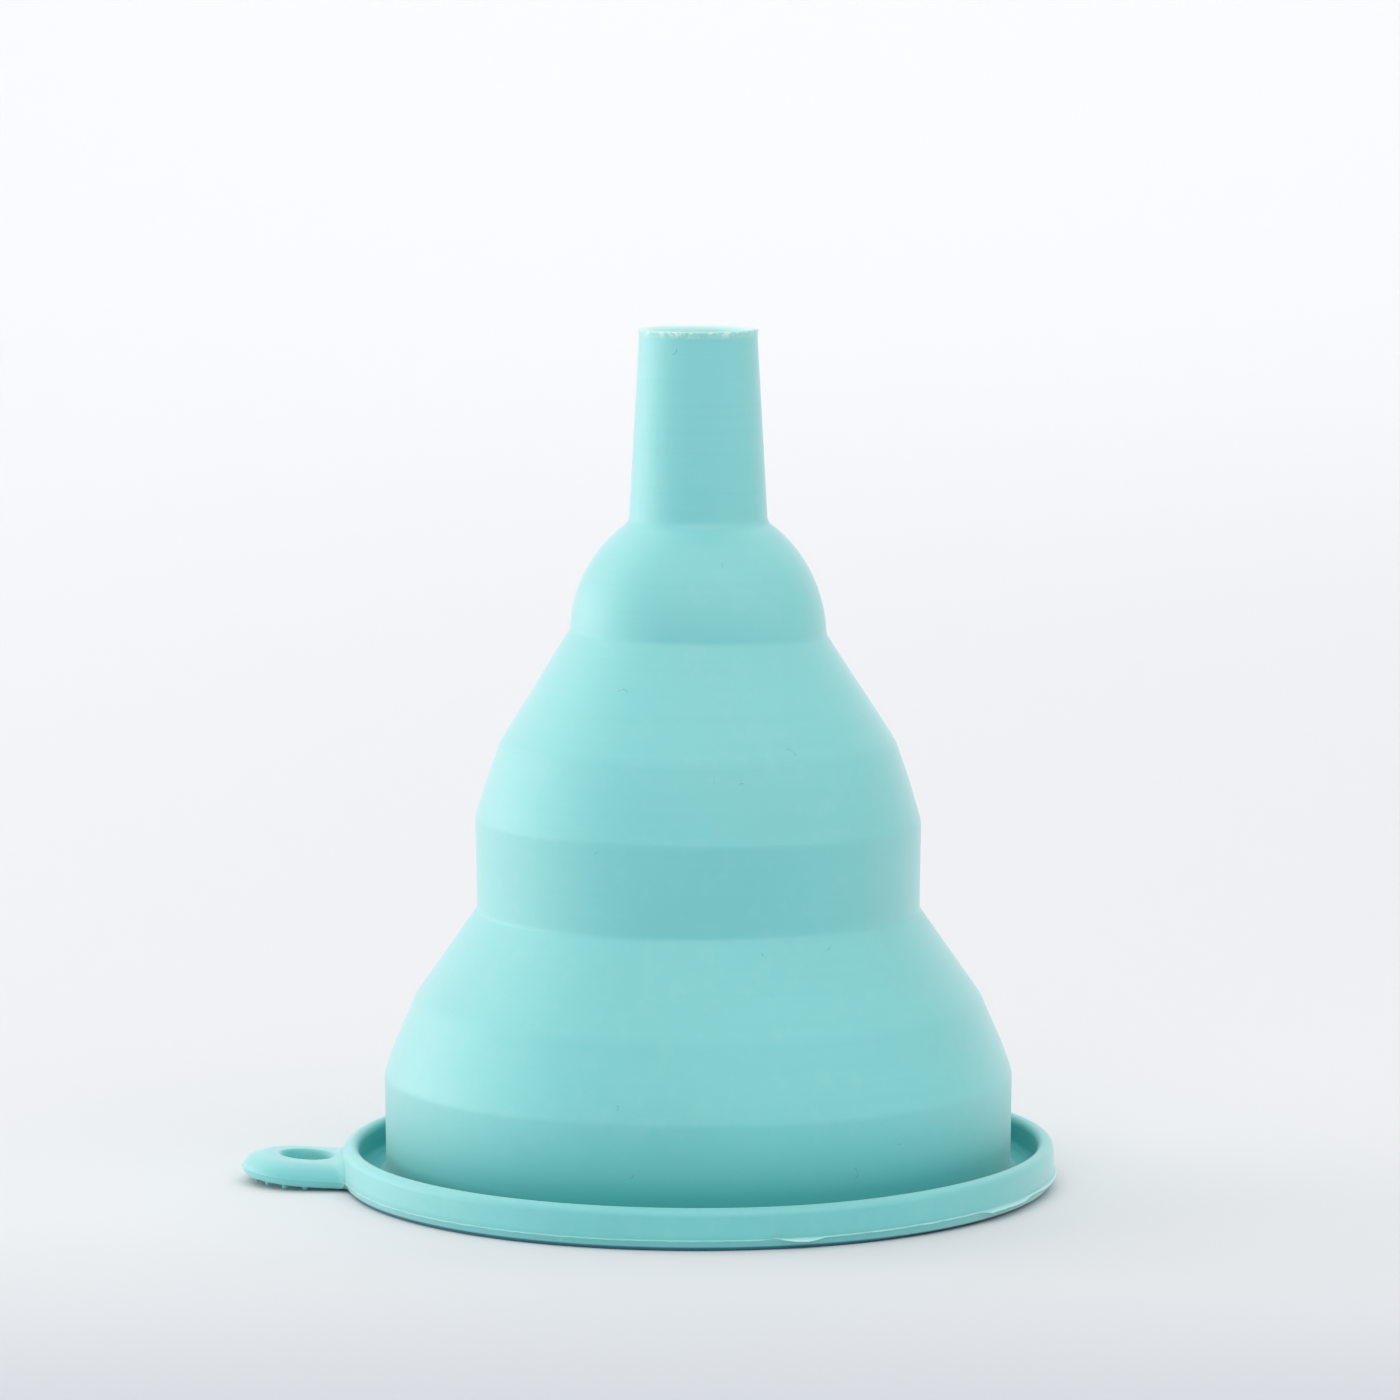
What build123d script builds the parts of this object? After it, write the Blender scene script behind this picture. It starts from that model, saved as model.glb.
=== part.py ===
from build123d import *
import os

# Collapsible silicone funnel, standing on its mouth with the spout pointing up. Millimetres.
#
# The funnel is one moulding in thirteen zones. The walls, the dome and the spout are thick and stay
# stiff. The sloping webs, and the bevelled bands below them, are thin and roll over when the funnel
# is pushed flat. The origin is on the funnel's axis, on the underside of the rim. +Z points to the
# spout's end, and the hanging tab points along -X. Neighbouring zones meet on horizontal planes.
# Each turned zone is a closed outline of (radius, height) corners, turned about the Z axis.

os.makedirs("parts", exist_ok=True)

# Rim: a flat ring with an upturned lip, and the mould's parting ridge round its edge
rim_radius = 42.0
floor_height = 1.35
lip_thickness = 2.0
lip_height = 4.75
rim_edge_rounding = 0.3
ridge_height = 1.2
ridge_reach = 0.3
ridge_half_width = 0.12

# Hanging tab
hole_offset = 46.2
hole_radius = 2.9
tab_end_radius = 7.7
tab_root_fillet = 1.8
tab_bottom = 0.33
tab_top = 2.92

# Low round nubs under the tab, on an arc round its hole
dot_radius = 0.36
dot_bottom = 0.05
dot_arc_radius = 5.7
dot_count = 11
dot_arc_start = 66
dot_arc_span = 228

# Lower stage: stiff wall, bevelled band in two facets, thin web
mouth_radius = 34.8
foot_radius = 36.8
lower_shoulder_radius = 36.93
lower_shoulder_height = 13.2
lower_facet_radius = 35.16
lower_facet_height = 17.9
lower_facet_bulge = 0.1
lower_web_radius = 33.3
lower_web_inner_radius = 31.75
lower_web_height = 22.2

# Middle stage
middle_foot_radius = 26.0
middle_foot_inner_radius = 24.3
middle_foot_height = 32.6
middle_shoulder_radius = 26.16
middle_shoulder_inner_radius = 24.1
middle_shoulder_height = 43.25
middle_facet_radius = 24.88
middle_facet_height = 47.5
middle_web_radius = 23.2
middle_web_inner_radius = 21.65
middle_web_height = 52.3

# Domed shoulder
dome_foot_radius = 15.02
dome_foot_inner_radius = 13.1
dome_foot_height = 65.2
dome_bulge = 1.75
dome_inner_bulge = 1.8

# Spout: tapered outside, and inside a draft that ends in a straight land
spout_foot_radius = 8.12
spout_foot_height = 78.06
bore_foot_radius = 6.3
bore_foot_height = 77.3
bore_radius = 5.5
land_foot_height = 90.0
tip_lip_radius = 6.95
tip_lip_height = 99.4
spout_end_radius = 7.02
spout_end_height = 100.7

lip_inner_radius = rim_radius - lip_thickness
lip_crest_radius = rim_radius - lip_thickness / 2
lip_side_height = lip_height - lip_thickness / 2
bore_draft = (bore_foot_radius - bore_radius) / (land_foot_height - bore_foot_height)
bore_radius_at_dome_top = bore_foot_radius - bore_draft * (spout_foot_height - bore_foot_height)

with BuildPart() as hang_tab:
    with BuildSketch(Plane.XY.offset(tab_bottom)) as tab_outline:
        Circle(rim_radius)
        with Locations((-hole_offset, 0)):
            Circle(tab_end_radius)
        with Locations((-hole_offset / 2, 0)):
            Rectangle(hole_offset, 2 * tab_end_radius)
        fillet(tab_outline.vertices().group_by(Axis.X)[-1], tab_root_fillet)
        Circle(rim_radius, mode=Mode.SUBTRACT)
        with Locations((-hole_offset, 0)):
            Circle(hole_radius, mode=Mode.SUBTRACT)
    extrude(amount=tab_top - tab_bottom)
hang_tab.part.label = "hang_tab"

with BuildPart() as tab_grip_dots:
    with BuildSketch(Plane.XY.offset(dot_bottom)):
        with Locations((-hole_offset, 0)):
            with PolarLocations(dot_arc_radius, dot_count, dot_arc_start, dot_arc_span, endpoint=True):
                Circle(dot_radius)
    extrude(amount=tab_bottom - dot_bottom)
tab_grip_dots.part.label = "tab_grip_dots"

with BuildPart() as rim_flange:
    with BuildSketch(Plane.XZ):
        with BuildLine():
            underside_edge = (rim_radius - rim_edge_rounding, 0)
            outside_edge = (rim_radius, rim_edge_rounding)
            Line((foot_radius, 0), underside_edge)
            RadiusArc(underside_edge, outside_edge, -rim_edge_rounding)
            Polyline(
                outside_edge,
                (rim_radius, ridge_height - ridge_half_width),
                (rim_radius + ridge_reach, ridge_height),
                (rim_radius, ridge_height + ridge_half_width),
                (rim_radius, floor_height),
                (foot_radius, floor_height),
                (foot_radius, 0),
            )
        make_face()
    revolve(axis=Axis.Z)
    add(hang_tab.part, mode=Mode.SUBTRACT)
rim_flange.part.label = "rim_flange"

with BuildPart() as rim_lip:
    with BuildSketch(Plane.XZ):
        with BuildLine():
            Polyline(
                (lip_inner_radius, lip_side_height),
                (lip_inner_radius, floor_height),
                (rim_radius, floor_height),
                (rim_radius, lip_side_height),
            )
            ThreePointArc(
                (rim_radius, lip_side_height),
                (lip_crest_radius, lip_height),
                (lip_inner_radius, lip_side_height),
            )
        make_face()
    revolve(axis=Axis.Z)
rim_lip.part.label = "rim_lip"

with BuildPart() as lower_wall:
    with BuildSketch(Plane.XZ):
        with BuildLine():
            Polyline(
                (mouth_radius, 0),
                (foot_radius, 0),
                (foot_radius, floor_height),
                (lower_shoulder_radius, lower_shoulder_height),
                (mouth_radius, lower_shoulder_height),
                close=True,
            )
        make_face()
    revolve(axis=Axis.Z)
lower_wall.part.label = "lower_wall"

with BuildPart() as lower_bevel_band:
    with BuildSketch(Plane.XZ):
        with BuildLine():
            shoulder = (lower_shoulder_radius, lower_shoulder_height)
            facet_edge = (lower_facet_radius, lower_facet_height)
            SagittaArc(shoulder, facet_edge, -lower_facet_bulge)
            Polyline(
                facet_edge,
                (lower_web_radius, lower_web_height),
                (lower_web_inner_radius, lower_web_height),
                (mouth_radius, lower_shoulder_height),
                shoulder,
            )
        make_face()
    revolve(axis=Axis.Z)
lower_bevel_band.part.label = "lower_bevel_band"

with BuildPart() as lower_slope_web:
    with BuildSketch(Plane.XZ):
        with BuildLine():
            Polyline(
                (lower_web_inner_radius, lower_web_height),
                (lower_web_radius, lower_web_height),
                (middle_foot_radius, middle_foot_height),
                (middle_foot_inner_radius, middle_foot_height),
                close=True,
            )
        make_face()
    revolve(axis=Axis.Z)
lower_slope_web.part.label = "lower_slope_web"

with BuildPart() as middle_wall:
    with BuildSketch(Plane.XZ):
        with BuildLine():
            Polyline(
                (middle_foot_inner_radius, middle_foot_height),
                (middle_foot_radius, middle_foot_height),
                (middle_shoulder_radius, middle_shoulder_height),
                (middle_shoulder_inner_radius, middle_shoulder_height),
                close=True,
            )
        make_face()
    revolve(axis=Axis.Z)
middle_wall.part.label = "middle_wall"

with BuildPart() as middle_bevel_band:
    with BuildSketch(Plane.XZ):
        with BuildLine():
            Polyline(
                (middle_shoulder_inner_radius, middle_shoulder_height),
                (middle_shoulder_radius, middle_shoulder_height),
                (middle_facet_radius, middle_facet_height),
                (middle_web_radius, middle_web_height),
                (middle_web_inner_radius, middle_web_height),
                close=True,
            )
        make_face()
    revolve(axis=Axis.Z)
middle_bevel_band.part.label = "middle_bevel_band"

with BuildPart() as middle_slope_web:
    with BuildSketch(Plane.XZ):
        with BuildLine():
            Polyline(
                (middle_web_inner_radius, middle_web_height),
                (middle_web_radius, middle_web_height),
                (dome_foot_radius, dome_foot_height),
                (dome_foot_inner_radius, dome_foot_height),
                close=True,
            )
        make_face()
    revolve(axis=Axis.Z)
middle_slope_web.part.label = "middle_slope_web"

with BuildPart() as shoulder_dome:
    with BuildSketch(Plane.XZ):
        with BuildLine():
            SagittaArc(
                (dome_foot_radius, dome_foot_height),
                (spout_foot_radius, spout_foot_height),
                -dome_bulge,
            )
            Polyline(
                (spout_foot_radius, spout_foot_height),
                (bore_radius_at_dome_top, spout_foot_height),
                (bore_foot_radius, bore_foot_height),
            )
            SagittaArc(
                (bore_foot_radius, bore_foot_height),
                (dome_foot_inner_radius, dome_foot_height),
                dome_inner_bulge,
            )
            Line(
                (dome_foot_inner_radius, dome_foot_height),
                (dome_foot_radius, dome_foot_height),
            )
        make_face()
    revolve(axis=Axis.Z)
shoulder_dome.part.label = "shoulder_dome"

with BuildPart() as spout_tube:
    with BuildSketch(Plane.XZ):
        with BuildLine():
            Polyline(
                (bore_radius_at_dome_top, spout_foot_height),
                (spout_foot_radius, spout_foot_height),
                (tip_lip_radius, tip_lip_height),
                (bore_radius, tip_lip_height),
                (bore_radius, land_foot_height),
                close=True,
            )
        make_face()
    revolve(axis=Axis.Z)
spout_tube.part.label = "spout_tube"

with BuildPart() as spout_tip_lip:
    with BuildSketch(Plane.XZ):
        with BuildLine():
            Polyline(
                (bore_radius, tip_lip_height),
                (tip_lip_radius, tip_lip_height),
                (spout_end_radius, spout_end_height),
                (bore_radius, spout_end_height),
                close=True,
            )
        make_face()
    revolve(axis=Axis.Z)
spout_tip_lip.part.label = "spout_tip_lip"

zones = (
    rim_flange,
    rim_lip,
    hang_tab,
    tab_grip_dots,
    lower_wall,
    lower_bevel_band,
    lower_slope_web,
    middle_wall,
    middle_bevel_band,
    middle_slope_web,
    shoulder_dome,
    spout_tube,
    spout_tip_lip,
)
for zone in zones:
    export_step(zone.part, f"parts/{zone.part.label}.step")
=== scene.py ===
import math
import random

import bpy
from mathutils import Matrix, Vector, noise


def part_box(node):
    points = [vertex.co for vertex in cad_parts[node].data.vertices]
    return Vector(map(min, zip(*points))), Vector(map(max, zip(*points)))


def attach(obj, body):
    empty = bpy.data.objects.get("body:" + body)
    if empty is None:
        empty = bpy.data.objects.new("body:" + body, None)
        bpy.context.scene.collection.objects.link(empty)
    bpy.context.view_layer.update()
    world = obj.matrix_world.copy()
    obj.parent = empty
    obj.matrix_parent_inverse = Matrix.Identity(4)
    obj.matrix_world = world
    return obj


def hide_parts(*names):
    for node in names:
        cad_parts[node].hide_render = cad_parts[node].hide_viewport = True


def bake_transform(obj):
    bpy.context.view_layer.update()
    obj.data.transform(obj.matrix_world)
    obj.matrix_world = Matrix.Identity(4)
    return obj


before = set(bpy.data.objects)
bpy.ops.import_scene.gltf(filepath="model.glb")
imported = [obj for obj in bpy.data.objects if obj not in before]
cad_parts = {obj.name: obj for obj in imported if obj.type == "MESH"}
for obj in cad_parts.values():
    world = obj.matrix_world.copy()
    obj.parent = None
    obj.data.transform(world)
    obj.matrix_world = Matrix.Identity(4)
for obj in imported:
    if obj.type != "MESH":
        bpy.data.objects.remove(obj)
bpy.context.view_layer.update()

mm = 0.001
rng = random.Random(41)


# ---------------------------------------------------------------- sizes taken from the frame

zone_names = ["lower_wall", "lower_bevel_band", "lower_slope_web",
              "middle_wall", "middle_bevel_band", "middle_slope_web",
              "shoulder_dome", "spout_tube"]
other_names = ["rim_flange", "rim_lip", "hang_tab", "tab_grip_dots", "spout_tip_lip"]
boxes = {name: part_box(name) for name in zone_names + other_names}


def top_of(node):
    return boxes[node][1].z


def foot_of(node):
    return boxes[node][0].z


def radius_of(node):
    """Outer radius of a turned zone, which is widest along Y as well as along X."""
    return boxes[node][1].y


rim_radius = radius_of("rim_lip")
floor_height = foot_of("rim_lip")
lip_height = top_of("rim_lip")
lip_thickness = 2.0 * mm
channel_radius = rim_radius - lip_thickness
parting_height = 1.2 * mm

# the stiff walls are a little narrower at the foot than at the shoulder
lower_draft = 0.13 * mm
middle_draft = 0.16 * mm
foot_radius = radius_of("lower_wall") - lower_draft
middle_foot_radius = radius_of("middle_wall") - middle_draft

# the tab's end is drawn 0.1 mm smaller than in CAD, to leave room for its parting ridge
tab_low, tab_high = boxes["hang_tab"]
tab_end_radius = 7.6 * mm
tab_end_to_hole = 7.7 * mm
tab_hole_radius = 2.9 * mm

dots_low, dots_high = boxes["tab_grip_dots"]


# ---------------------------------------------------------------- outlines

ARC_STEPS = 14
LONGEST_STEP = 0.7 * mm


def corner(radius, height, softness=0.0, cut=False):
    """One corner of an outline. Softness is how far its rounding reaches along both sides."""
    return Vector((radius, height)), softness, cut


def bulged(start, end, bulge, steps):
    """Points between two corners along a circular arc that stands out by bulge."""
    chord = end - start
    half = chord.length / 2
    arc_radius = (half * half + bulge * bulge) / (2 * bulge)
    outward = Vector((chord.y, -chord.x)).normalized()
    centre = (start + end) / 2 - outward * (arc_radius - bulge)
    turn = (start - centre).angle_signed(end - centre)
    points = []
    for i in range(1, steps):
        a = -turn * i / steps
        arm = start - centre
        points.append(centre + Vector((arm.x * math.cos(a) - arm.y * math.sin(a),
                                       arm.x * math.sin(a) + arm.y * math.cos(a))))
    return [(p, 0.0, False) for p in points]


def softened(corners):
    """The outline's points with every soft corner rounded, and the places where it is cut into zones."""
    points, cuts = [], []
    last = len(corners) - 1
    for i, (here, softness, cut) in enumerate(corners):
        if softness and 0 < i < last:
            back = here + (corners[i - 1][0] - here).normalized() * softness
            on = here + (corners[i + 1][0] - here).normalized() * softness
            for k in range(ARC_STEPS + 1):
                t = k / ARC_STEPS
                points.append(back * (1 - t) ** 2 + here * (2 * t * (1 - t)) + on * t * t)
                if cut and k == ARC_STEPS // 2:
                    cuts.append(len(points) - 1)
        else:
            points.append(here.copy())
            if cut:
                cuts.append(len(points) - 1)
    return points, cuts


def refined(points, cuts=()):
    """Splits the long steps of an outline, and keeps count of where its cuts are."""
    fine, moved = [points[0]], {0: 0}
    for i in range(1, len(points)):
        a, b = points[i - 1], points[i]
        pieces = max(1, math.ceil((b - a).length / LONGEST_STEP))
        fine += [a.lerp(b, k / pieces) for k in range(1, pieces + 1)]
        moved[i] = len(fine) - 1
    return fine, [moved[c] for c in cuts]


def outward_normals(points):
    """Unit normals of an outline that is walked upwards, so they point away from the axis."""
    found = []
    for i, here in enumerate(points):
        before = (here - points[max(i - 1, 0)])
        after = (points[min(i + 1, len(points) - 1)] - here)
        along = before.normalized() + after.normalized()
        found.append(Vector((along.y, -along.x)).normalized())
    return found


def between(value, table):
    """Straight-line reading of a short table of (place, amount) pairs."""
    for (a, low), (b, high) in zip(table, table[1:]):
        if value <= b:
            return low + (high - low) * max(0.0, (value - a) / (b - a))
    return table[-1][1]


# ---------------------------------------------------------------- how the soft moulding sits

rim_rise = 0.42 * mm
tab_rise = 0.75 * mm
middle_band_tilt = 0.012
dome_tilt = 0.020


def bump_at(value, centre, width):
    """A smooth hump, 1 at its centre."""
    return math.exp(-((value - centre) / width) ** 2)


def eased(value, low, high):
    """A smooth step, 0 up to low and 1 from high."""
    t = min(1.0, max(0.0, (value - low) / (high - low)))
    return t * t * (3 - 2 * t)


def settled(p):
    """The moulding isn't quite true: its rim rises a little on the right, its tab rises at the tip, and
    two creases run askew."""
    lift = rim_rise * eased(p.x, 8 * mm, 42 * mm) * (1 - eased(p.z, 4 * mm, 14 * mm))
    lift += tab_rise * eased(-p.x, 41 * mm, 56 * mm)
    askew = middle_band_tilt * bump_at(p.z, foot_of("middle_bevel_band"), 6 * mm)
    askew += dome_tilt * bump_at(p.z, foot_of("shoulder_dome"), 7 * mm)
    return Vector((p.x, p.y, p.z + lift - askew * p.x))


# ---------------------------------------------------------------- meshes

WALL_SEGMENTS = 192
TIP_SEGMENTS = 320
LIP_SEGMENTS = 288
FLANGE_SEGMENTS = 720


def new_piece(name, vertices, faces, crisp_angle=40):
    """A smooth-shaded object. Edges sharper than crisp_angle degrees stay crisp."""
    mesh = bpy.data.meshes.new(name)
    mesh.from_pydata([tuple(v) for v in vertices], [], faces)
    mesh.validate()
    mesh.shade_smooth()
    mesh.set_sharp_from_angle(angle=math.radians(crisp_angle))
    piece = bpy.data.objects.new(name, mesh)
    bpy.context.scene.collection.objects.link(piece)
    return piece


def turned(name, outline, closed, segments=WALL_SEGMENTS, detail=None, crisp_angle=40):
    """Turns an outline about the funnel's axis. detail(index, angle) moves a point by (radius, height)."""
    vertices, faces = [], []
    for i, point in enumerate(outline):
        for j in range(segments):
            a = 2 * math.pi * j / segments
            radius, height = point
            if detail:
                dr, dz = detail(i, a)
                radius, height = radius + dr, height + dz
            vertices.append(settled(Vector((radius * math.cos(a), radius * math.sin(a), height))))
    rows = len(outline)
    for i in range(rows if closed else rows - 1):
        up = (i + 1) % rows
        for j in range(segments):
            k = (j + 1) % segments
            faces.append((i * segments + j, i * segments + k, up * segments + k, up * segments + j))
    return new_piece(name, vertices, faces, crisp_angle)


# ---------------------------------------------------------------- the funnel's outer outline, foot to tip

def band_facet(wall, band, web, share_in, share_up):
    """The faint edge part way up a bevelled band: a share of the way in, and a share of the way up."""
    radius, height = radius_of(wall), foot_of(band)
    return Vector((radius + (radius_of(web) - radius) * share_in,
                   height + (top_of(band) - height) * share_up))


lower_facet = band_facet("lower_wall", "lower_bevel_band", "lower_slope_web",
                         share_in=0.488, share_up=0.522)
middle_facet = band_facet("middle_wall", "middle_bevel_band", "middle_slope_web",
                          share_in=0.432, share_up=0.47)
lower_shoulder = Vector((radius_of("lower_wall"), foot_of("lower_bevel_band")))
dome_foot = Vector((radius_of("shoulder_dome"), foot_of("shoulder_dome")))
dome_top = Vector((radius_of("spout_tube"), foot_of("spout_tube")))
tip_radius = 6.93 * mm
spout_height = top_of("spout_tip_lip") - 0.1 * mm
seam_gap = 0.01 * mm
foot_fillet = 0.75 * mm
band_bulge = 0.1 * mm
dome_bulge = 1.75 * mm

outer_corners = [
    corner(foot_radius + foot_fillet, floor_height + seam_gap),
    corner(foot_radius, floor_height + seam_gap, 0.6 * mm),
    corner(lower_shoulder.x, lower_shoulder.y, 0.4 * mm, cut=True),
    *bulged(lower_shoulder, lower_facet, band_bulge, steps=6),
    corner(lower_facet.x, lower_facet.y, 0.3 * mm),
    corner(radius_of("lower_slope_web"), foot_of("lower_slope_web"), 0.7 * mm, cut=True),
    corner(middle_foot_radius, foot_of("middle_wall"), 0.45 * mm, cut=True),
    corner(radius_of("middle_wall"), foot_of("middle_bevel_band"), 0.45 * mm, cut=True),
    corner(middle_facet.x, middle_facet.y, 0.6 * mm),
    corner(radius_of("middle_slope_web"), foot_of("middle_slope_web"), 0.7 * mm, cut=True),
    corner(dome_foot.x, dome_foot.y, 0.4 * mm, cut=True),
    *bulged(dome_foot, dome_top, dome_bulge, steps=16),
    corner(dome_top.x, dome_top.y, 0.75 * mm, cut=True),
    corner(tip_radius, foot_of("spout_tip_lip")),
]

# wall thickness at rising heights, square to the wall: thin where the funnel folds
thicknesses = [
    (foot_of("lower_wall"), 2.0 * mm),
    (foot_of("lower_bevel_band"), 2.05 * mm),
    (lower_facet.y, 1.55 * mm),
    (foot_of("lower_slope_web"), 1.35 * mm),
    (foot_of("lower_slope_web") + 4 * mm, 1.2 * mm),
    (foot_of("middle_wall") - 1 * mm, 1.3 * mm),
    (foot_of("middle_wall"), 1.6 * mm),
    (foot_of("middle_wall") + 1.5 * mm, 1.9 * mm),
    (foot_of("middle_bevel_band"), 1.95 * mm),
    (middle_facet.y, 1.5 * mm),
    (foot_of("middle_slope_web"), 1.3 * mm),
    (foot_of("middle_slope_web") + 5 * mm, 1.2 * mm),
    (foot_of("shoulder_dome") - 1 * mm, 1.3 * mm),
    (foot_of("shoulder_dome"), 1.6 * mm),
    (foot_of("shoulder_dome") + 1.5 * mm, 1.9 * mm),
    (foot_of("spout_tube"), 1.8 * mm),
    (top_of("spout_tube"), 1.45 * mm),
    (spout_height, 1.45 * mm),
]

outer, cuts = refined(*softened(outer_corners))
normals = outward_normals(outer)
walls = [between(p.y, thicknesses) for p in outer]
inner = [p - n * wall for p, n, wall in zip(outer, normals, walls)]
starts = [0] + cuts
ends = cuts + [len(outer) - 1]
zone_span = {name: (a, b) for name, a, b in zip(zone_names, starts, ends)}


def stiff_zone(node, body, foot=()):
    """A closed ring of wall, from the outer outline over to the inner one. foot replaces the seam below."""
    a, b = zone_span[node]
    outline = outer[a:b + 1] + inner[a:b + 1][::-1] if not foot else outer[a:b + 1] + list(foot)
    piece = turned(f"{node}_form", outline, closed=True)
    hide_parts(node)
    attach(piece, body)
    return piece


def folding_zone(node):
    """An open sheet for one of the zones that fold. Its wall is added by a modifier, so it keeps its
    thickness where it rolls over."""
    a, b = zone_span[node]
    piece = turned(f"{node}_form", outer[a:b + 1], closed=False)
    thickest = max(walls[a:b + 1])
    group = piece.vertex_groups.new(name="wall")
    segments = len(piece.data.vertices) // (b + 1 - a)
    for row in range(b + 1 - a):
        ring = list(range(row * segments, (row + 1) * segments))
        group.add(ring, walls[a + row] / thickest, "REPLACE")
    for edge in piece.data.edges:
        rows = {v // segments for v in edge.vertices}
        edge.use_edge_sharp = rows in ({0}, {b - a})
    solid = piece.modifiers.new("wall", "SOLIDIFY")
    solid.thickness = thickest
    solid.offset = -1
    solid.vertex_group = group.name
    solid.use_quality_normals = True
    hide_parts(node)
    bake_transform(piece)
    return piece


def fold(band, web):
    """A band and the web above it, made as two open sheets."""
    return [
        folding_zone(band),
        folding_zone(web),
    ]


# ---------------------------------------------------------------- walls, folds, dome and spout

def mouth_outline():
    """The inside of the lower wall, downwards: the bore, its eased edge at the table, and the foot."""
    mouth_radius = foot_radius - 2.0 * mm
    edge_reach, edge_middle = 0.45 * mm, 0.13 * mm
    corners = [
        inner[zone_span["lower_wall"][1]],
        Vector((mouth_radius, lower_shoulder.y - 2 * mm)),
        Vector((mouth_radius, edge_reach)),
        Vector((mouth_radius + edge_middle, edge_middle)),
        Vector((mouth_radius + edge_reach, 0.0)),
        Vector((foot_radius, 0.0)),
        Vector((foot_radius, floor_height - 0.4 * mm)),
    ]
    return refined(corners)[0]


pieces = [stiff_zone("lower_wall", "rim_stage", foot=mouth_outline())]
pieces += fold("lower_bevel_band", "lower_slope_web")
pieces += [stiff_zone("middle_wall", "middle_stage")]
pieces += fold("middle_bevel_band", "middle_slope_web")
pieces += [stiff_zone("shoulder_dome", "spout_stage"), stiff_zone("spout_tube", "spout_stage")]


# ---------------------------------------------------------------- trimmed edge at the spout's end

def ragged(angle, pitch, seed):
    """Smooth noise round the axis, from -1 to 1."""
    return noise.noise(Vector((math.cos(angle) * pitch, math.sin(angle) * pitch, seed)))


def make_tip():
    """The spout's end: a thin trimmed edge that stands out a little, and an eased bore."""
    foot = outer[-1]
    bore = inner[-1]
    lip = foot.x + 0.05 * mm
    easing, easing_depth, easing_steps = 1.05 * mm, 0.85, 8
    fray_reach, fray_drop, bore_wave = 0.05 * mm, 0.1 * mm, 0.03 * mm
    outline = [
        Vector((foot.x, foot.y)),
        Vector((foot.x, spout_height - 0.6 * mm)),
        Vector((foot.x + 0.01 * mm, spout_height - 0.42 * mm)),
        Vector((lip, spout_height - 0.33 * mm)),
        Vector((lip + 0.04 * mm, spout_height - 0.2 * mm)),
        Vector((lip, spout_height - 0.08 * mm)),
        Vector((lip - 0.1 * mm, spout_height - 0.02 * mm)),
        Vector((lip - 0.3 * mm, spout_height)),
    ]
    for k in range(easing_steps + 1):
        a = math.pi / 2 * k / easing_steps
        outline.append(Vector((bore.x + easing * (1 - math.sin(a)),
                               spout_height - easing * easing_depth * (1 - math.cos(a)))))
    outline.append(Vector((bore.x, foot.y)))
    # rows of the outline that the trimming left frayed, and by how much of the full fray
    frayed_rows = {2: 0.4, 3: 1.0, 4: 1.0, 5: 0.5}
    wavy_rows = range(6, 12)

    def detail(row, angle):
        if row in frayed_rows:
            fray = ragged(angle, 9, 2.0) + 0.7 * ragged(angle, 23, 5.0)
            drop = ragged(angle, 14, 8.0)
            return fray_reach * fray * frayed_rows[row], fray_drop * drop * frayed_rows[row]
        if row in wavy_rows:
            return 0.0, bore_wave * ragged(angle, 5, 11.0)
        return 0.0, 0.0

    piece = turned("spout_tip_form", outline, closed=True, segments=TIP_SEGMENTS, detail=detail,
                   crisp_angle=60)
    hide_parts("spout_tip_lip")
    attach(piece, "spout_stage")
    return piece


tip = make_tip()


# ---------------------------------------------------------------- rim: flange, parting flash and lip

flash_limit = radius_of("rim_flange") - rim_radius


def degrees_from_front(angle):
    """Degrees round the rim from the front, counted towards +X."""
    return math.degrees(math.atan2(math.cos(angle), -math.sin(angle)))


def flash_reach(angle):
    """How far the parting flash stands out, round the rim: a fine ridge all round, and a fin on the right
    of the front, wide at its start and past its middle."""
    place = degrees_from_front(angle)
    ridge = 0.08 * mm + 0.03 * mm * ragged(angle, 30, 3.0)
    fin = eased(place, 11.0, 12.2) * (1 - eased(place, 84, 93))
    wide = eased(place, 50, 54) + 1.3 * bump_at(place, 15.0, 3.0)
    narrow_reach, wider_by, roughness = 0.08 * mm, 0.17 * mm, 0.07 * mm
    fin_reach = narrow_reach + wider_by * min(1.0, wide) + roughness * ragged(angle, 26, 9.0)
    return min(ridge + fin * max(0.0, fin_reach), flash_limit)


def flash_droop(angle):
    """How far the flash bends up or down, round the rim. The fin starts with an upturned tag, and hangs
    down where it is widest."""
    place = degrees_from_front(angle)
    upturn = 0.34 * bump_at(place, 11.8, 0.9)
    tag = 0.34 * bump_at(place, 16.5, 2.6)
    folds = 0.36 * eased(place, 49, 53) * (1 - eased(place, 62, 66)) + 0.2 * bump_at(place, 76, 5)
    waviness = 0.07 * ragged(angle, 34, 6.0)
    return mm * (upturn - tag - folds - waviness)


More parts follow.
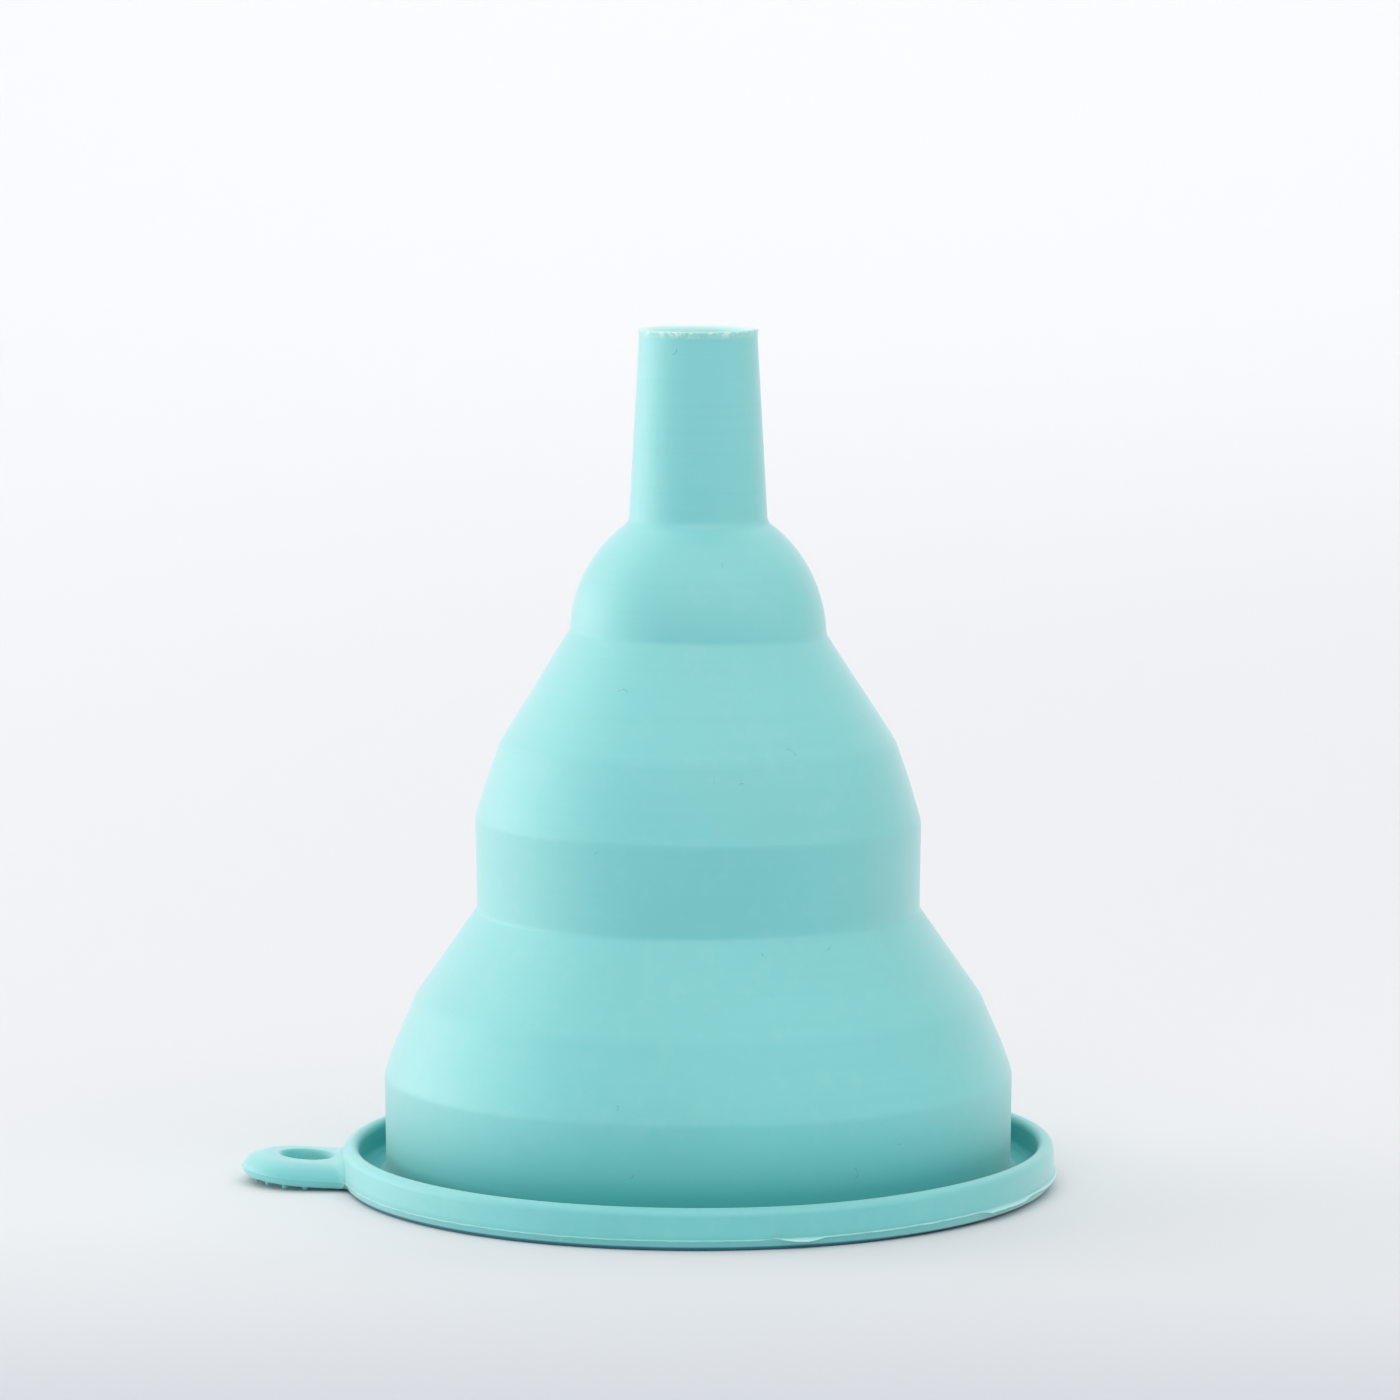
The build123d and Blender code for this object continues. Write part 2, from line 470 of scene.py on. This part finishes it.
def make_flange():
    """The flat ring that the funnel stands on: rounded foot, parting flash, and the channel's floor."""
    band_radius = rim_radius - 0.08 * mm
    outline = [
        Vector((foot_radius, 0.0)),
        Vector((band_radius - 0.75 * mm, 0.0)),
        Vector((band_radius - 0.45 * mm, 0.07 * mm)),
        Vector((band_radius - 0.28 * mm, 0.22 * mm)),
        Vector((band_radius - 0.2 * mm, 0.42 * mm)),
        Vector((band_radius, parting_height - 0.16 * mm)),
        Vector((rim_radius - 0.04 * mm, parting_height - 0.07 * mm)),
        Vector((rim_radius, parting_height)),
        Vector((rim_radius - 0.02 * mm, parting_height + 0.06 * mm)),
        Vector((rim_radius - 0.03 * mm, floor_height - 0.02 * mm)),
        Vector((rim_radius - 0.5 * mm, floor_height)),
        Vector((foot_radius, floor_height)),
    ]
    # rows of the outline that the flash moves, and by how much of its reach
    flash_rows = {6: 0.75, 7: 1.0, 8: 0.85}

    def detail(row, angle):
        share = flash_rows.get(row)
        if share is None:
            return 0.0, 0.0
        return flash_reach(angle) * share, flash_droop(angle) * share

    piece = turned("rim_flange_form", outline, closed=True, segments=FLANGE_SEGMENTS, detail=detail)
    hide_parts("rim_flange")
    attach(piece, "rim_stage")
    return piece


def make_lip():
    """The upturned lip: a round crown, and a fillet down to the channel's floor."""
    crown = lip_thickness / 2
    lip_lean = 0.1 * mm
    top_outer = rim_radius - lip_lean
    top_inner = channel_radius
    crest = (top_outer + top_inner) / 2
    half = (top_outer - top_inner) / 2
    fillet = 0.7 * mm
    buried = 0.05 * mm
    crown_steps, fillet_steps = 18, 8
    outline = [Vector((rim_radius - 0.02 * mm, floor_height - 0.03 * mm)),
               Vector((rim_radius, floor_height + 0.05 * mm))]
    for k in range(crown_steps + 1):
        a = math.pi * k / crown_steps
        outline.append(Vector((crest + half * math.cos(a),
                               lip_height - crown + crown * math.sin(a))))
    for k in range(fillet_steps + 1):
        a = math.pi / 2 * k / fillet_steps
        outline.append(Vector((top_inner - fillet * (1 - math.cos(a)),
                               floor_height + seam_gap + fillet * (1 - math.sin(a)))))
    outline.append(Vector((top_inner - fillet, floor_height - buried)))
    outline.append(Vector((rim_radius - 0.3 * mm, floor_height - buried)))
    piece = turned("rim_lip_form", refined(outline)[0], closed=True, segments=LIP_SEGMENTS)
    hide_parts("rim_lip")
    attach(piece, "rim_stage")
    return piece


flange, lip = make_flange(), make_lip()


# ---------------------------------------------------------------- hanging tab with its nubs

tab_centre = Vector((tab_low.x + tab_end_to_hole, 0.0))
root_fillet = 1.7 * mm
tab_underside = tab_low.z + 0.03 * mm
tab_topside = tab_high.z


def tab_fillet_centre():
    """Centre of the concave fillet between the tab's side and the rim, on the +Y side."""
    y = tab_end_radius + root_fillet
    return Vector((-math.sqrt((rim_radius + root_fillet) ** 2 - y * y), y))


fillet_centre = tab_fillet_centre()


def tab_outline():
    """The tab's plan, from the +Y root round its end to the -Y root, and back inside the rim."""
    fillet_steps, side_steps, end_steps, root_steps = 14, 6, 48, 40
    half = []
    root_angle = math.atan2(-fillet_centre.y, -fillet_centre.x)
    for k in range(fillet_steps + 1):
        a = root_angle + (-math.pi / 2 - root_angle) * k / fillet_steps
        half.append(fillet_centre + Vector((math.cos(a), math.sin(a))) * root_fillet)
    for k in range(1, side_steps):
        x = fillet_centre.x + (tab_centre.x - fillet_centre.x) * k / side_steps
        half.append(Vector((x, tab_end_radius)))
    for k in range(end_steps + 1):
        a = math.pi / 2 + math.pi / 2 * k / end_steps
        half.append(tab_centre + Vector((math.cos(a), math.sin(a))) * tab_end_radius)
    mirrored = [Vector((p.x, -p.y)) for p in half[:-1]][::-1]
    inside = []
    buried = rim_radius - 0.8 * mm
    root = math.atan2(half[0].y, half[0].x)
    for k in range(root_steps + 1):
        a = -root + (2 * root - 2 * math.pi) * k / root_steps
        inside.append(Vector((math.cos(a), math.sin(a))) * buried)
    return half + mirrored + inside


def tab_inset(p):
    """How far a point of the tab's plan is inside its outline."""
    if p.x < tab_centre.x:
        return tab_end_radius - (p - tab_centre).length
    side = Vector((p.x, abs(p.y)))
    if p.x < fillet_centre.x:
        return tab_end_radius - side.y
    return (side - fillet_centre).length - root_fillet


def rounding(depth, reach):
    """A quarter round: 0 at an edge, and 1 from reach inwards."""
    u = min(1.0, max(0.0, depth / reach))
    return math.sqrt(1 - (1 - u) ** 2)


def tab_heights(p):
    """Top and underside of the tab over a point of its plan."""
    crown_height, flare_height, flare_reach = 0.1 * mm, 0.55 * mm, 1.1 * mm
    edge = tab_inset(p)
    hole = (p - tab_centre).length - tab_hole_radius
    root = max(0.0, 1 - (p.length - rim_radius) / flare_reach)
    flare = flare_height * min(1.0, root) ** 2
    top = (tab_topside - parting_height) * rounding(edge, 2.6 * mm) * rounding(hole, 0.45 * mm)
    crown = crown_height * eased(edge, 0.0, 5 * mm)
    low = (parting_height - tab_underside) * rounding(edge, 0.45 * mm) * rounding(hole, 0.3 * mm)
    high = parting_height + top - crown_height + crown + flare * rounding(edge, 2 * mm)
    return high, parting_height - low


def make_tab():
    """The hanging tab: rings of points from the hole's waist over the top, round the ridge, and back
    along the underside."""
    plan = tab_outline()
    count = len(plan)
    rows = 30
    ridge_half_width = 0.05 * mm
    top_rings, low_rings = [], []
    for k in range(rows + 1):
        s = (1 - math.cos(math.pi * k / rows)) / 2
        top_ring, low_ring = [], []
        for p in plan:
            hole_point = tab_centre + (p - tab_centre).normalized() * tab_hole_radius
            q = hole_point.lerp(p, s)
            high, low = tab_heights(q)
            if k == rows:
                high = max(high, parting_height + ridge_half_width)
                low = min(low, parting_height - ridge_half_width)
            top_ring.append(Vector((q.x, q.y, high)))
            low_ring.append(Vector((q.x, q.y, low)))
        top_rings.append(top_ring)
        low_rings.append(low_ring)
    ridge = []
    for i, p in enumerate(plan):
        along = plan[(i + 1) % count] - plan[i - 1]
        out = Vector((-along.y, along.x)).normalized()
        if out.dot(p - tab_centre) < 0:
            out = -out
        reach = 0.08 * mm + 0.02 * mm * noise.noise((p * 900).to_3d())
        ridge.append(Vector((p.x + out.x * reach, p.y + out.y * reach, parting_height)))
    waist = [Vector((v.x, v.y, parting_height)) for v in top_rings[0]]
    rings = [waist] + top_rings[1:] + [ridge] + low_rings[:0:-1]
    vertices = [settled(v) for ring in rings for v in ring]
    faces = []
    for r in range(len(rings)):
        up = (r + 1) % len(rings)
        for i in range(count):
            j = (i + 1) % count
            faces.append((r * count + i, up * count + i, up * count + j, r * count + j))
    piece = new_piece("hang_tab_form", vertices, faces, crisp_angle=50)
    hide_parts("hang_tab")
    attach(piece, "rim_stage")
    return piece


def make_nubs():
    """Domed nubs under the tab, on an arc round its hole. They hang below its underside, and stand
    further out than in CAD, so that they show."""
    nub_radius = 0.36 * mm
    further_out = 0.5 * mm
    hang, hang_spread, radius_spread = 0.65, 0.04, 0.08
    buried = 0.3 * mm
    apex_share = 0.72
    arc_radius = (dots_high.y - dots_low.y) / 2 - nub_radius + further_out
    count, first, span = 11, 66, 228
    sides = 20
    # shares of the radius and of the height, upwards from the nub's tip
    profile = [(0.0, 0.0), (0.45, 0.02), (0.75, 0.09), (0.93, 0.2), (1.0, 0.33), (1.0, 0.7)]
    vertices, faces = [], []
    for n in range(count):
        a = math.radians(first + span * n / (count - 1))
        centre = tab_centre + Vector((math.cos(a), math.sin(a))) * arc_radius
        lifted = settled(Vector((centre.x, centre.y, tab_underside))).z
        low = lifted - (hang + hang_spread * rng.uniform(-1, 1)) * mm
        low = max(low, dots_low.z)
        tall = lifted + buried - low
        radius = nub_radius * (1 + radius_spread * rng.uniform(-1, 1))
        base = len(vertices)
        vertices.append(Vector((centre.x, centre.y, low)))
        for share, up in profile[1:]:
            for j in range(sides):
                b = 2 * math.pi * j / sides
                vertices.append(Vector((centre.x + radius * share * math.cos(b),
                                        centre.y + radius * share * math.sin(b),
                                        low + tall * up)))
        vertices.append(Vector((centre.x, centre.y, low + tall * apex_share)))
        rows = len(profile) - 1
        for j in range(sides):
            k = (j + 1) % sides
            faces.append((base, base + 1 + k, base + 1 + j))
            for r in range(rows - 1):
                under, over = base + 1 + r * sides, base + 1 + (r + 1) * sides
                faces.append((under + j, under + k, over + k, over + j))
            last = base + 1 + (rows - 1) * sides
            faces.append((last + j, last + k, len(vertices) - 1))
    piece = new_piece("tab_nubs_form", vertices, faces)
    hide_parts("tab_grip_dots")
    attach(piece, "rim_stage")
    return piece


tab, nubs = make_tab(), make_nubs()


# ---------------------------------------------------------------- silicone

teal = (0.062, 0.553, 0.543)
# painted shadow colour for the line where the rim meets the table
contact_shadow_blue = (0.01, 0.13, 0.2)
stretched = (0.5, 0.85, 0.84)
crumb_pale = (0.3, 0.74, 0.68)
crumb_white = (0.7, 0.93, 0.8)
cut_face = (0.44, 0.83, 0.8)

# the painted contact shadow, a dark line where the rim meets the table, fades out between these heights
contact_foot, contact_top = 0.36 * mm, 0.54 * mm

# small nicks and lint in the surface: degrees round from the front, height in mm, size in mm, and how
# many degrees they lean
marks = [(-25, 98.5, 0.5, -40), (-28, 59.5, 0.8, 90), (27, 53, 0.9, 60), (4, 50.5, 0.2, 0),
         (12, 50, 0.3, 100), (-26, 42, 0.4, 150), (15, 31, 0.3, 30), (33, 31.5, 0.5, -60),
         (-15, 15, 0.4, 10), (28, 7, 0.8, 5), (-74, 14, 0.6, 20), (12, 74, 0.3, 15),
         (-12, 7.5, 0.3, -30), (38, 9.5, 0.3, 80), (140, 36, 0.5, 60), (-150, 22, 0.6, 20),
         (175, 70, 0.4, 90)]


def mark_place(degrees, height):
    """The point on the outer wall at one height, degrees round from the front, and that turn."""
    level = height * mm
    radius = between(level, [(p.y, p.x) for p in outer])
    a = math.radians(degrees)
    return Vector((radius * math.sin(a), -radius * math.cos(a), level)), a


class Shading:
    """Short names for building a material's nodes."""

    def __init__(self, name):
        self.material = bpy.data.materials.new(name)
        self.material.use_nodes = True
        self.tree = self.material.node_tree
        self.tree.nodes.clear()
        self.object_place = self.node("ShaderNodeTexCoord").outputs["Object"]

    def node(self, kind, links=(), values=(), **settings):
        made = self.tree.nodes.new(kind)
        for key, value in settings.items():
            setattr(made, key, value)
        for socket, value in dict(values).items():
            made.inputs[socket].default_value = value
        for socket, source in dict(links).items():
            self.tree.links.new(source, made.inputs[socket])
        return made

    def noise(self, scale, detail, roughness=0.5, shift=0.0, stretch=(1, 1, 1)):
        """Fractal noise in the object's own space. shift moves it, so that two materials differ."""
        place = self.node("ShaderNodeMapping", {"Vector": self.object_place},
                          {"Scale": stretch, "Location": (shift, shift * 0.7, shift * 0.3)})
        made = self.node("ShaderNodeTexNoise", {"Vector": place.outputs["Vector"]},
                         {"Scale": scale, "Detail": detail, "Roughness": roughness})
        return made.outputs["Fac"]

    def ranged(self, source, low, high, to_low=0.0, to_high=1.0):
        """source, read from the range low to high into the range to_low to to_high."""
        made = self.node("ShaderNodeMapRange", {"Value": source},
                         {"From Min": low, "From Max": high, "To Min": to_low, "To Max": to_high})
        return made.outputs["Result"]

    def both(self, first, second, operation="MULTIPLY"):
        return self.node("ShaderNodeMath", {0: first, 1: second}, operation=operation).outputs[0]

    def mixed(self, amount, under, over):
        """Colour over laid on colour under. under may be another node's output."""
        linked = {"Factor": amount}
        values = {"B": (*over, 1)}
        if isinstance(under, tuple):
            values["A"] = (*under, 1)
        else:
            linked["A"] = under
        return self.node("ShaderNodeMix", linked, values, data_type="RGBA").outputs["Result"]

    def bump(self, height, strength, distance, normal=None):
        linked = {"Height": height}
        if normal:
            linked["Normal"] = normal
        made = self.node("ShaderNodeBump", linked, {"Strength": strength, "Distance": distance})
        return made.outputs["Normal"]

    def crescent(self, degrees, height, size, lean):
        """1 on a thin hair-like arc on the wall, 0 elsewhere."""
        half_width, cut_share = 0.055 * mm, 0.55
        centre, turn = mark_place(degrees, height)
        reach = size * mm
        lie = math.radians(lean)
        side = (math.cos(turn) * math.cos(lie), math.sin(turn) * math.cos(lie), math.sin(lie))
        distance = self.node("ShaderNodeVectorMath", {0: self.object_place}, {1: centre},
                             operation="DISTANCE").outputs["Value"]
        ring = self.node("ShaderNodeMath", {0: distance}, {1: reach, 2: half_width},
                         operation="COMPARE")
        offset = self.node("ShaderNodeVectorMath", {0: self.object_place}, {1: centre},
                           operation="SUBTRACT")
        along = self.node("ShaderNodeVectorMath", {0: offset.outputs["Vector"]}, {1: side},
                          operation="DOT_PRODUCT").outputs["Value"]
        part = self.node("ShaderNodeMath", {0: along}, {1: reach * cut_share},
                         operation="GREATER_THAN")
        return self.both(ring.outputs[0], part.outputs[0])

    def height(self):
        """The object's own Z, which is the height over the table while the funnel is open."""
        return self.node("ShaderNodeSeparateXYZ", {0: self.object_place}).outputs["Z"]

    def radius(self):
        """Distance from the funnel's axis."""
        flat = self.node("ShaderNodeVectorMath", {0: self.object_place}, {1: (1, 1, 0)},
                         operation="MULTIPLY")
        made = self.node("ShaderNodeVectorMath", {0: flat.outputs["Vector"]}, operation="LENGTH")
        return made.outputs["Value"]


def toned(share, added=0.0):
    """The silicone's teal, darker or paler."""
    return tuple(c * share + added for c in teal)


def silicone(name, shift, marked=False, pale_flash=False, trimmed=None):
    """Matt moulded silicone: a soft colour drift, mould grain, faint turning marks, specks of dust, and
    painted light that turns it paler towards the top. marked is for the body: nicks, and a darker, duller
    foot that stands in for shadow. pale_flash is for the rim: a pale flash, painted shade and less gloss in
    the channel, and a painted contact shadow, a dark line where the rim meets the table. trimmed is for the
    spout's end: the heights between which it turns crumbly and pale."""
    made = Shading(name)
    drift = made.noise(38, 3, shift=shift)
    grain = made.noise(2600, 3, 0.6, shift)
    rings = made.noise(240, 2, 0.5, shift, stretch=(0.1, 0.1, 7.0))
    cloud = made.noise(420, 2, 0.55, shift)

    deep = toned(0.95)
    pale = toned(1.04, 0.006)
    thin = toned(1.02, 0.075)
    dust = toned(0.7, 0.26)
    dark = toned(0.42)
    colour = made.mixed(made.ranged(drift, 0.35, 0.65), deep, pale)
    # painted light: the colour turns paler towards the top, standing in for light that shines through the
    # spout and dome
    colour = made.mixed(made.ranged(made.height(), 0.0, top_of("spout_tube")), colour, thin)
    colour = made.mixed(made.ranged(rings, 0.42, 0.75, 0, 0.16), colour, deep)
    colour = made.mixed(made.ranged(cloud, 0.5, 0.8, 0, 0.12), colour, dust)
    colour = made.mixed(made.ranged(grain, 0.62, 0.86, 0, 0.3), colour, dust)
    if marked:
        foot = made.ranged(made.height(), 12 * mm, 5 * mm)
        colour = made.mixed(foot, colour, toned(0.84))
    if pale_flash:
        # painted shade: the drip channel inside the lip is darker, as shade falls in the recess
        channel = made.ranged(made.radius(), channel_radius + 0.5 * mm, channel_radius - 0.1 * mm)
        colour = made.mixed(channel, colour, toned(0.92))
        # painted shadow: a dark blue line at the very foot of the rim, where it meets the table
        contact_shade = made.ranged(made.height(), contact_top, contact_foot, 0, 0.9)
        colour = made.mixed(contact_shade, colour, contact_shadow_blue)

    cells = made.node("ShaderNodeTexVoronoi", {"Vector": made.object_place}, {"Scale": 240})
    near = made.ranged(cells.outputs["Distance"], 0.03, 0.08, 1, 0)
    rare = made.ranged(cells.outputs["Color"], 0.91, 0.94, 0, 0.4)
    colour = made.mixed(made.both(near, rare), colour, dark)

    normal = made.bump(grain, 0.22, 0.04 * mm)
    normal = made.bump(rings, 0.12, 0.08 * mm, normal)
    if marked:
        amount = made.crescent(*marks[0])
        for mark in marks[1:]:
            amount = made.both(amount, made.crescent(*mark), "MAXIMUM")
        colour = made.mixed(made.both(amount, made.ranged(grain, 0.35, 0.6, 0.15, 0.65)), colour, dark)
        normal = made.bump(amount, -0.5, 0.05 * mm, normal)
    if pale_flash:
        edge = made.ranged(made.radius(), rim_radius, rim_radius + 0.25 * mm, 0.0, 0.9)
        colour = made.mixed(edge, colour, stretched)
    if trimmed:
        band = made.ranged(made.height(), *trimmed)
        crumbs = made.ranged(made.noise(1700, 4, 0.7, shift), 0.4, 0.62, 0.55, 1)
        colour = made.mixed(made.both(band, crumbs), colour, crumb_pale)
        white = made.ranged(made.noise(1300, 3, 0.6, shift + 1), 0.5, 0.6, 0, 0.9)
        white = made.both(band, white)
        outermost = made.ranged(made.radius(), tip_radius - 0.02 * mm, tip_radius + 0.03 * mm)
        colour = made.mixed(made.both(white, outermost), colour, crumb_white)
        cut = made.ranged(made.radius(), tip_radius - 0.35 * mm, tip_radius - 0.5 * mm, 0, 0.85)
        colour = made.mixed(cut, colour, cut_face)

    roughness = made.ranged(drift, 0.3, 0.7, 0.5, 0.6)
    sockets = {"Base Color": colour, "Normal": normal, "Roughness": roughness}
    skin = {"Sheen Weight": 0.7, "Coat Weight": 0.9, "Specular IOR Level": 1.0}
    if marked:
        for socket in skin:
            sockets[socket] = made.ranged(made.height(), 5 * mm, 13 * mm, 0.42, skin[socket])
        skin = {}
    if pale_flash:
        clear = made.both(made.ranged(made.radius(), channel_radius, channel_radius + 0.7 * mm),
                          made.ranged(made.height(), contact_foot, contact_top))
        for socket in skin:
            sockets[socket] = made.ranged(clear, 0, 1, 0.16, skin[socket])
        skin = {}
    shader = made.node("ShaderNodeBsdfPrincipled", sockets,
                       {"IOR": 1.55, "Sheen Roughness": 0.5, "Sheen Tint": (0.9, 1.0, 1.0, 1),
                        "Coat Roughness": 0.65, "Coat IOR": 2.0, **skin})
    made.node("ShaderNodeOutputMaterial", {"Surface": shader.outputs["BSDF"]})
    return made.material


body_silicone = silicone("silicone_body", 0.0, marked=True)
rim_silicone = silicone("silicone_rim", 0.31, pale_flash=True)
tab_silicone = silicone("silicone_tab", 0.44)
tip_silicone = silicone("silicone_tip", 0.57,
                        trimmed=(spout_height - 0.95 * mm, spout_height - 0.4 * mm))

for piece in pieces:
    piece.data.materials.append(body_silicone)
for piece in (flange, lip):
    piece.data.materials.append(rim_silicone)
for piece in (tab, nubs):
    piece.data.materials.append(tab_silicone)
tip.data.materials.append(tip_silicone)


# ---------------------------------------------------------------- floor, light and camera

# painted shade: the paper is greyer near the front of the table, where less light falls
paper_front_shaded = (0.512, 0.54, 0.588)
paper_far = (0.776, 0.78, 0.792)


def studio_paper():
    """Matt paper, a little greyer towards the front of the table in painted shade, with a faint tooth."""
    made = Shading("studio_paper")
    depth = made.node("ShaderNodeSeparateXYZ", {0: made.object_place}).outputs["Y"]
    back = made.node("ShaderNodeMapRange", {"Value": depth}, {"From Min": -0.2, "From Max": 0.0},
                     interpolation_type="SMOOTHSTEP").outputs["Result"]
    colour = made.mixed(back, paper_front_shaded, paper_far)
    normal = made.bump(made.noise(900, 2), 0.05, 0.05 * mm)
    shader = made.node("ShaderNodeBsdfPrincipled", {"Base Color": colour, "Normal": normal},
                       {"Roughness": 0.8, "Specular IOR Level": 0.2})
    made.node("ShaderNodeOutputMaterial", {"Surface": shader.outputs["BSDF"]})
    return made.material


def make_sweep():
    """A pale floor that curves up into a backdrop."""
    half_width, front, bend_start, bend_radius, wall_top = 3.0, -2.0, 1.6, 1.2, 3.4
    bend_steps = 24
    line = [(front, 0.0), (bend_start, 0.0)]
    for k in range(1, bend_steps + 1):
        a = math.pi / 2 * k / bend_steps
        line.append((bend_start + bend_radius * math.sin(a), bend_radius * (1 - math.cos(a))))
    line.append((bend_start + bend_radius, wall_top))
    vertices = [(x, y, z) for y, z in line for x in (-half_width, half_width)]
    faces = [(2 * i, 2 * i + 1, 2 * i + 3, 2 * i + 2) for i in range(len(line) - 1)]
    sweep = new_piece("studio_sweep", vertices, faces)
    sweep.data.materials.append(studio_paper())


def soft_light(name, place, target, width, height, radiance):
    """A rectangular soft box. Radiance is how bright its face is, whatever its size."""
    data = bpy.data.lights.new(name, "AREA")
    data.shape = "RECTANGLE"
    data.size, data.size_y = width, height
    data.energy = radiance * width * height * math.pi
    lamp = bpy.data.objects.new(name, data)
    lamp.location = place
    lamp.rotation_euler = (Vector(target) - Vector(place)).to_track_quat("-Z", "Y").to_euler()
    bpy.context.scene.collection.objects.link(lamp)


make_sweep()
middle = (0, 0, 0.05)
soft_light("overhead", (0.06, -0.52, 0.66), middle, 1.1, 0.9, 0.93)
soft_light("left", (-1.15, 0.2, 0.17), middle, 1.6, 0.3, 3.5)
soft_light("left high", (-0.85, 0.2, 0.7), middle, 0.7, 0.6, 1.35)
soft_light("right", (1.0, -0.4, 0.6), middle, 0.9, 0.9, 0.74)
soft_light("backdrop", (0, 1.3, 2.2), (0, 2.7, 0.5), 4.0, 1.6, 2.37)

world = bpy.data.worlds.new("studio")
world.use_nodes = True
background = world.node_tree.nodes["Background"]
background.inputs["Color"].default_value = (0.97, 0.98, 1.0, 1)
background.inputs["Strength"].default_value = 0.52
bpy.context.scene.world = world
bpy.context.scene.view_settings.view_transform = "Standard"

# the camera looks along +Y, pitched down by a few degrees
camera_distance = 0.7332
camera_height = 0.1424
camera_pitch = 6.635
camera_aside = 0.2 * mm
lens_mm, sensor_mm = 162.05, 36
camera_data = bpy.data.cameras.new("camera")
camera_data.sensor_width = sensor_mm
camera_data.lens = lens_mm
camera = bpy.data.objects.new("camera", camera_data)
camera.location = (camera_aside, -camera_distance, camera_height)
camera.rotation_euler = (math.radians(90 - camera_pitch), 0, 0)
bpy.context.scene.collection.objects.link(camera)
bpy.context.scene.camera = camera
